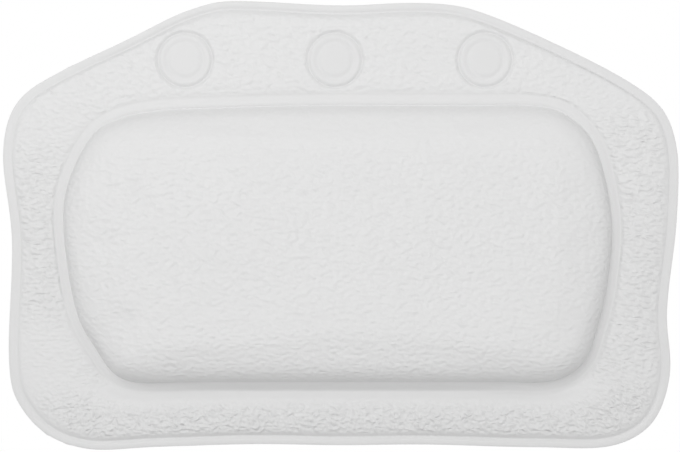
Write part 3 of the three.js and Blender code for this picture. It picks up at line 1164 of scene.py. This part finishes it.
    def crinkle(self, mesh: bpy.types.Mesh) -> None:
        """Lifts the sheet unevenly where it is embossed, so that its outline isn't machined."""
        points = corners_of(mesh)
        normals = np.empty(len(points) * 3)
        mesh.vertices.foreach_get("normal", normals)
        grain = np.zeros(len(points))
        for kind in Grain:
            grain += strength_of(mesh, kind)
        large, small = (
            np.array([noise.noise((x / wave[0], y / wave[1], z / wave[2] + start)) for x, y, z in points])
            for wave, start in ((self.LARGE_WAVE, 3.0), (self.SMALL_WAVE, 0.0))
        )
        uneven = self.WAVE_HEIGHTS[0] * large + self.WAVE_HEIGHTS[1] * small
        lift = uneven * np.sqrt(np.clip(grain, 0.0, 1.0))
        points += normals.reshape(-1, 3) * lift[:, None]
        mesh.vertices.foreach_set("co", points.ravel())

    def build(self, finish: bpy.types.Material) -> bpy.types.Object:
        """Builds, dresses and places the sheet.

        Args:
            finish: The sheet's material.

        Returns:
            The piece.
        """
        rings = self.rings()
        net = self.plan.net(rings, self.crown_depth)
        self.embossing.mark(net, rings, self.layout)
        self.mark_flat(net, rings)
        number = net.verts.layers.int["ring"]
        limit = np.array([self.CAPS.get(rings[vert[number]].zone, 0.0) for vert in net.verts])
        for vert, place in zip(net.verts, self.swelling.run(net, limit)):
            vert.co = place
        lining = self.line_inside(net, rings)
        skin = smoothed(net, 2)
        bm = bmesh.new()
        bm.from_mesh(skin)
        self.refine_rings(bm)
        bm.to_mesh(skin)
        bm.free()
        self.press_rings(skin)
        self.crinkle(skin)
        bm = bmesh.new()
        bm.from_mesh(skin)
        inside = bpy.data.meshes.new("front_lining")
        lining.to_mesh(inside)
        lining.free()
        bm.from_mesh(inside)
        bmesh.ops.bridge_loops(bm, edges=open_edges(bm))
        bmesh.ops.recalc_face_normals(bm, faces=bm.faces)
        piece = new_piece("front_sheet", bm, finish)
        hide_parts("header_front", "pad_front")
        self.layout.bend(piece)
        return piece


@dataclass
class BackSheet:
    """The plain film behind the pillow, a little puffed between the welds."""

    layout: Layout
    plan: SheetPlan
    thickness: float = 0.0008
    pad_puff: float = 0.0024
    border_puff: float = 0.0011
    rim_puff: float = 0.0005
    lip_puff: float = 0.28
    lip_room: Fade = Fade(0.0135, 0.034)
    flange_room: float = 0.004
    wall: tuple[Pair, ...] = ((0.009, 1.0), (0.0045, 0.85), (0.0018, 0.5), (0.0005, 0.12))
    seam: tuple[float, ...] = (0.0, 0.5, 1.0)
    border: tuple[Pair, ...] = (
        (0.02, 0.15), (0.07, 0.6), (0.18, 0.92), (0.4, 1.0), (0.65, 1.0), (0.85, 0.9), (0.95, 0.5),
    )
    rim: tuple[Pair, ...] = ((0.95, 0.0), (0.75, 0.5), (0.3, 0.5), (0.0, 0.0))

    def pad_depth(self, plan: np.ndarray, puff: float = 1.0) -> np.ndarray:
        """Sets the film behind the pad, which stays low where the cups' lips meet it when it folds."""
        room = self.lip_room(self.layout.fold.z - plan[:, 1])
        return self.layout.back_rear - puff * self.pad_puff * (self.lip_puff + (1.0 - self.lip_puff) * room)

    def rings(self) -> list[Ring]:
        """Lists the rings from the grid behind the pad out to the edge."""
        layout, plan = self.layout, self.plan
        level = np.full(len(plan.foot), layout.back_rear)
        seam, channel = offset(plan.foot, layout.SEAM_WIDTH), offset(plan.edge, -layout.edge_weld)
        made = []
        for reach, puff in self.wall:
            points = plan.inside(reach)
            made.append(Ring(Zone.WALL, points, self.pad_depth(points, puff)))
        for width in self.seam:
            made.append(Ring(Zone.SEAM, offset(plan.foot, width * layout.SEAM_WIDTH), level))
        for share, puff in self.border:
            made.append(Ring(Zone.BORDER, seam + share * (channel - seam), level - puff * self.border_puff))
        made.append(Ring(Zone.GROOVE, channel, level))
        for share, puff in self.rim:
            points = offset(plan.edge, -share * layout.RIM_WIDTH)
            made.append(Ring(Zone.RIM, points, level - puff * self.rim_puff))
        return made

    def seat_flanges(self, bm: bmesh.types.BMesh) -> None:
        """Keeps the film flat where a cup's flange is welded to it."""
        reach = self.layout.ring_radius + self.flange_room
        for vert in bm.verts:
            for centre in self.layout.ring_centres.values():
                if math.hypot(vert.co.x - centre.x, vert.co.z - centre.z) < reach:
                    vert.co.y = -self.layout.back_rear

    def build(self, finish: bpy.types.Material) -> bpy.types.Object:
        """Builds, dresses and places the sheet.

        Args:
            finish: The sheet's material.

        Returns:
            The piece.
        """
        layout, plan = self.layout, self.plan
        net = plan.net(self.rings(), self.pad_depth)
        self.seat_flanges(net)
        bm = bmesh.new()
        bm.from_mesh(smoothed(net, 1))
        bmesh.ops.reverse_faces(bm, faces=bm.faces)
        bmesh.ops.solidify(bm, geom=bm.faces[:], thickness=self.thickness)
        bmesh.ops.recalc_face_normals(bm, faces=bm.faces)
        piece = new_piece("back_sheet", bm, finish)
        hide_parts("header_back", "pad_back")
        here, following = plan.edge, np.roll(plan.edge, -1, axis=0)
        area = 0.5 * abs(np.sum(here[:, 0] * following[:, 1] - following[:, 0] * here[:, 1]))
        size = (2 * layout.half_width, layout.rise + layout.drop)
        layout.bend(piece)
        return piece


@dataclass
class WeldFrames:
    """The melted films that join the two sheets along the edge and round the pad."""

    layout: Layout
    plan: SheetPlan
    bead: float = 0.0001

    def frame(self, inner: np.ndarray, outer: np.ndarray) -> bmesh.types.BMesh:
        """Builds one flat frame with a bead along its outer side.

        Args:
            inner: Its inner ring.
            outer: Its outer ring.

        Returns:
            A closed mesh.
        """
        rear, front = self.layout.film_front, self.layout.cover_depth
        level = np.ones(len(inner))
        bm = bmesh.new()
        place = bm.verts.layers.int.new("place")
        bm.verts.layers.int.new("ring")
        verts = [bm.verts.new((x, -rear, z)) for x, z in inner]
        for index, vert in enumerate(verts):
            vert[place] = index
        first = [bm.edges.new((vert, verts[index - 1])) for index, vert in enumerate(verts)]
        loops = [
            Ring(Zone.RIM, outer, level * rear),
            Ring(Zone.RIM, offset(outer, self.bead), level * (rear + front) / 2),
            Ring(Zone.RIM, outer, level * front),
            Ring(Zone.RIM, inner, level * front),
        ]
        edges = first
        for number, ring in enumerate(loops, 1):
            grown = grow(bm, edges, ring, number)
            edges = [edge for edge in grown if edge not in first]
        bmesh.ops.bridge_loops(bm, edges=open_edges(bm))
        bmesh.ops.recalc_face_normals(bm, faces=bm.faces)
        return bm

    def build(self, finish: bpy.types.Material) -> list[bpy.types.Object]:
        """Builds, dresses and places both films.

        Args:
            finish: Their material.

        Returns:
            The pieces.
        """
        layout, plan = self.layout, self.plan
        edge = new_piece("edge_film", self.frame(offset(plan.edge, -layout.edge_weld), plan.edge), finish)
        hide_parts("header_edge_weld", "pad_edge_weld")
        band = new_piece("pad_film", self.frame(plan.foot, offset(plan.foot, layout.SEAM_WIDTH)), finish)
        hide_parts("pad_weld")
        for piece in (edge, band):
            layout.bend(piece)
        return [edge, band]


@dataclass
class FoamCore:
    """The foam block inside the pad, which follows the form of the front sheet."""

    layout: Layout
    plan: SheetPlan
    cover: FrontSheet
    clearance: float = 0.0031
    rear_gap: float = 0.0005
    wall_reaches: tuple[float, ...] = (0.0058, 0.0042)
    foot_reach: float = 0.0039

    @property
    def rear(self) -> float:
        """Depth of the core's flat back."""
        return self.layout.film_front + self.rear_gap

    def depth(self, points: np.ndarray) -> np.ndarray:
        """Gives the depth of the core under its cover."""
        return np.maximum(self.cover.crown_depth(points) - 2 * self.clearance, self.rear)

    def build(self, finish: bpy.types.Material) -> bpy.types.Object:
        """Builds, dresses and places the core.

        Args:
            finish: Its material.

        Returns:
            The piece.
        """
        plan = self.plan
        rings = []
        for reach in (plan.grid_reach + self.clearance, *self.wall_reaches):
            points = plan.inside(reach)
            rings.append(Ring(Zone.WALL, points, self.depth(points)))
        foot = plan.inside(self.foot_reach)
        rings.append(Ring(Zone.SEAM, foot, np.full(len(foot), self.rear)))
        bm = plan.net(rings, self.depth)
        bmesh.ops.edgeloop_fill(bm, edges=open_edges(bm))
        bmesh.ops.recalc_face_normals(bm, faces=bm.faces)
        piece = new_piece("foam_block", bm, finish)
        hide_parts("foam_core")
        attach(piece, "pad")
        return piece


@dataclass
class SuctionCup:
    """One weld-on cup: a flange and neck that stay with the header, and a bell that flattens."""

    side: Side
    centre: Vector
    flange_radius: float
    flange_front: float
    bell_radius: float
    bell_height: float
    travel: float
    flange_thickness: float = 0.0012
    flange_edge: float = 0.00045
    neck_radius: float = 0.004
    neck_gap: float = 0.0004
    fillet: float = 0.0014
    collar_width: float = 0.0021
    collar_edge: float = 0.0005
    wall: float = 0.0015
    lip: float = 0.0014
    ceiling_radius: float = 0.0012
    bulge: float = 0.3
    steps: int = 96
    arc_points: int = 7
    curve_points: int = 15

    @classmethod
    def from_frame(cls, side: Side, layout: Layout, joints: Sequence[dict[str, Any]]) -> SuctionCup:
        """Reads a cup's sizes from its CAD nodes.

        Args:
            side: Which cup.
            layout: The pillow's layout.
            joints: The frame's joints, of which the cup's own gives its travel.

        Returns:
            The cup.
        """
        flange_low, flange_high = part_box(f"cup_flange_{side.value}")
        bell_low, bell_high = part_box(f"cup_skirt_{side.value}")
        press = next(joint for joint in joints if joint["name"] == f"cup_{side.value}_press")
        return cls(
            side=side,
            centre=layout.ring_centres[side],
            flange_radius=(flange_high.x - flange_low.x) / 2,
            flange_front=-flange_low.y,
            bell_radius=(bell_high.x - bell_low.x) / 2,
            bell_height=-bell_low.y,
            travel=press["range_m"][1],
        )

    def turn(self, profile: Sequence[Pair]) -> bmesh.types.BMesh:
        """Spins a profile round the cup's axis.

        Args:
            profile: Radius and depth of its points, starting and ending on the axis.

        Returns:
            A closed mesh.
        """
        bm = bmesh.new()
        verts = [bm.verts.new((self.centre.x + radius, -depth, self.centre.z)) for radius, depth in profile]
        edges = [bm.edges.new(pair) for pair in zip(verts, verts[1:])]
        bmesh.ops.spin(
            bm, geom=verts + edges, axis=(0.0, 1.0, 0.0), cent=self.centre, dvec=(0.0, 0.0, 0.0),
            angle=2 * math.pi, steps=self.steps, use_merge=True, use_duplicate=False,
        )
        bmesh.ops.remove_doubles(bm, verts=bm.verts, dist=1e-6)
        bmesh.ops.recalc_face_normals(bm, faces=bm.faces)
        return bm

    def arc(self, middle: Pair, radius: float, start: float, end: float) -> list[Pair]:
        """Lists points of a round corner, between angles in degrees from the outward direction."""
        angles = np.radians(np.linspace(start, end, self.arc_points))
        return [(middle[0] + radius * math.cos(a), middle[1] + radius * math.sin(a)) for a in angles]

    def base_profile(self) -> list[Pair]:
        """Outlines the flange and the neck."""
        edge, fillet, front = self.flange_edge, self.fillet, self.flange_front
        rim, back = self.flange_radius - edge, front - self.flange_thickness
        neck_end = self.bell_height - self.neck_gap
        return [
            (0.0, front),
            (rim, front),
            *self.arc((rim, front - edge), edge, 90, 0),
            *self.arc((rim, back + edge), edge, 0, -90),
            *self.arc((self.neck_radius + fillet, back - fillet), fillet, 90, 180),
            (self.neck_radius, neck_end),
            (0.0, neck_end),
        ]

    def swell(self, rim: float, top: float, height: float) -> list[Pair]:
        """Lists points of a curve from the bell's lip to its top."""
        t = np.linspace(0.0, 1.0, self.curve_points)
        pull = rim + self.bulge * (top - rim)
        radius = (1 - t) ** 2 * rim + 2 * t * (1 - t) * pull + t**2 * top
        depth = 2 * t * (1 - t) * height + t**2 * height
        return list(zip(radius.tolist(), depth.tolist()))

    def bell_profile(self) -> list[Pair]:
        """Outlines the bell, from its collar over the lip to the hollow's ceiling."""
        top, ceiling = self.bell_height, self.bell_height - self.wall
        collar = self.neck_radius + self.collar_width
        outer = self.swell(self.bell_radius, collar, top)[::-1]
        inner = self.swell(self.bell_radius - self.lip, self.ceiling_radius, ceiling)
        return [(0.0, top), (collar - self.collar_edge, top), *outer, *inner, (0.0, ceiling)]

    def build(self, finish: bpy.types.Material) -> list[bpy.types.Object]:
        """Builds, dresses and places the cup.

        Args:
            finish: Its material.

        Returns:
            The flange with its neck, and the bell.
        """
        name = self.side.value
        base = new_piece(f"cup_base_{name}", self.turn(self.base_profile()), finish)
        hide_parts(f"cup_flange_{name}")
        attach(base, "header")
        bell = new_piece(f"cup_bell_{name}", self.turn(self.bell_profile()), finish)
        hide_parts(f"cup_skirt_{name}")
        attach(bell, f"cup_{name}")
        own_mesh(bell)
        return [base, bell]


@dataclass(frozen=True)
class Lamp:
    """A soft square lamp: its place, the width of its face and its power in watts."""

    name: str
    place: Triple
    size: float
    power: float

    def hang(self, aim: Triple) -> None:
        """Hangs the lamp so that it faces a place."""
        data = bpy.data.lights.new(self.name, "AREA")
        data.size = self.size
        data.energy = self.power
        lamp = bpy.data.objects.new(self.name, data)
        lamp.location = self.place
        lamp.rotation_euler = (Vector(aim) - Vector(self.place)).to_track_quat("-Z", "Y").to_euler()
        bpy.context.scene.collection.objects.link(lamp)


@dataclass
class Studio:
    """White studio: floor, soft lamps, white surroundings and the camera of the photograph."""

    frame_width: float = 0.3327
    aim: Triple = (-0.0002, -0.0145, -0.0819)
    lens: float = 100.0
    sensor: float = 36.0
    floor_height: float = -0.25
    floor_radius: float = 0.9
    floor_fade: Pair = (0.18, 0.6)
    floor_tone: Colour = (0.68, 0.68, 0.68, 1.0)
    floor_glow: float = 0.43
    ambient: float = 0.83
    overhead_dim: float = 0.35
    lamps: tuple[Lamp, ...] = (
        Lamp("key_lamp", (-0.36, -1.55, 0.47), 0.8, 6.5),
        Lamp("front_lamp", (-0.05, -1.2, -0.16), 0.6, 1.55),
        Lamp("back_lamp", (0.7, 1.4, 0.8), 0.35, 7.0),
    )

    def build(self) -> None:
        """Sets the scene up."""
        self.camera()
        self.floor()
        self.world()
        for lamp in self.lamps:
            lamp.hang(self.aim)
        bpy.context.scene.view_settings.view_transform = "Standard"

    def camera(self) -> None:
        """Places the camera straight ahead, so that the pillow fills the frame as in the photograph."""
        data = bpy.data.cameras.new("camera")
        data.lens = self.lens
        data.sensor_width = self.sensor
        data.sensor_fit = "HORIZONTAL"
        camera = bpy.data.objects.new("camera", data)
        distance = self.lens * self.frame_width / self.sensor
        camera.location = (self.aim[0], self.aim[1] - distance, self.aim[2])
        camera.rotation_euler = (math.pi / 2, 0.0, 0.0)
        bpy.context.scene.collection.objects.link(camera)
        bpy.context.scene.camera = camera

    def floor(self) -> None:
        """Lays a pale floor that keeps the pillow's shadow and fades into the white surroundings."""
        bm = bmesh.new()
        bmesh.ops.create_circle(bm, cap_ends=True, segments=128, radius=self.floor_radius)
        bmesh.ops.translate(bm, verts=bm.verts, vec=(0.0, 0.0, self.floor_height))
        nodes = Nodes.of_finish("studio_floor")
        seen = self.seen(nodes)
        place = nodes.add("ShaderNodeTexCoord", {}, {})["Object"]
        flatten = {0: place, 1: (1.0, 1.0, 0.0)}
        level = nodes.add("ShaderNodeVectorMath", {"operation": "MULTIPLY"}, flatten)["Vector"]
        away = nodes.add("ShaderNodeVectorMath", {"operation": "LENGTH"}, {0: level})["Value"]
        limits = {"Value": away, "From Min": self.floor_fade[0], "From Max": self.floor_fade[1]}
        fade = nodes.add("ShaderNodeMapRange", {"interpolation_type": "SMOOTHSTEP"}, limits)["Result"]
        pale = nodes.add("ShaderNodeBsdfDiffuse", {}, {"Color": self.floor_tone})["BSDF"]
        glow = nodes.add("ShaderNodeEmission", {}, {"Strength": self.floor_glow * seen})["Emission"]
        near = nodes.add("ShaderNodeAddShader", {}, {0: pale, 1: glow})["Shader"]
        white = nodes.add("ShaderNodeEmission", {}, {"Strength": 1.0})["Emission"]
        mixed = nodes.add("ShaderNodeMixShader", {}, {0: fade * seen, 1: near, 2: white})["Shader"]
        nodes.add("ShaderNodeOutputMaterial", {}, {"Surface": mixed})
        new_piece("studio_floor", bm, nodes.owner)

    def seen(self, nodes: Nodes) -> Value:
        """Tells rays that look at the surroundings from rays that light the pillow."""
        path = nodes.add("ShaderNodeLightPath", {}, {})
        return path["Is Camera Ray"] + path["Is Glossy Ray"] + path["Is Transmission Ray"]

    def world(self) -> None:
        """Surrounds the scene with white that lights it softly, less from overhead."""
        world = bpy.data.worlds.new("studio")
        nodes = Nodes(world)
        seen = self.seen(nodes)
        toward = nodes.add("ShaderNodeTexCoord", {}, {})["Generated"]
        high = nodes.add("ShaderNodeSeparateXYZ", {}, {"Vector": toward})["Z"]
        ambient = self.ambient * (1.0 - self.overhead_dim * nodes.clamp(high))
        strength = ambient + (1.0 - ambient) * seen
        white = {"Color": (1.0, 1.0, 1.0, 1.0), "Strength": strength}
        back = nodes.add("ShaderNodeBackground", {}, white)["Background"]
        nodes.add("ShaderNodeOutputWorld", {}, {"Surface": back})
        bpy.context.scene.world = world


def main() -> None:
    """Builds the pillow piece by piece on its frame."""
    logging.basicConfig(level=logging.INFO, format="%(name)s: %(message)s")
    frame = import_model()
    layout = Layout.from_frame(frame["joints"])
    Studio().build()
    weld = WeldFilm().build()
    plan = SheetPlan(layout)
    front = FrontSheet(layout, plan, Crown())
    pieces = [front.build(EmbossedFoam().build())]
    pieces.append(BackSheet(layout, plan).build(BackFilm().build()))
    pieces += WeldFrames(layout, plan).build(weld)
    pieces.append(FoamCore(layout, plan, front).build(CoreFoam().build()))
    vinyl = CupVinyl().build()
    for side in Side:
        pieces += SuctionCup.from_frame(side, layout, frame["joints"]).build(vinyl)
        node = frame["nodes"][f"cup_weld_{side.value}"]
        node.data.materials.clear()
        node.data.materials.append(weld)
    for piece in pieces:
        LOG.info("%s: %d faces", piece.name, len(piece.data.polygons))


if __name__ == "__main__":
    main()
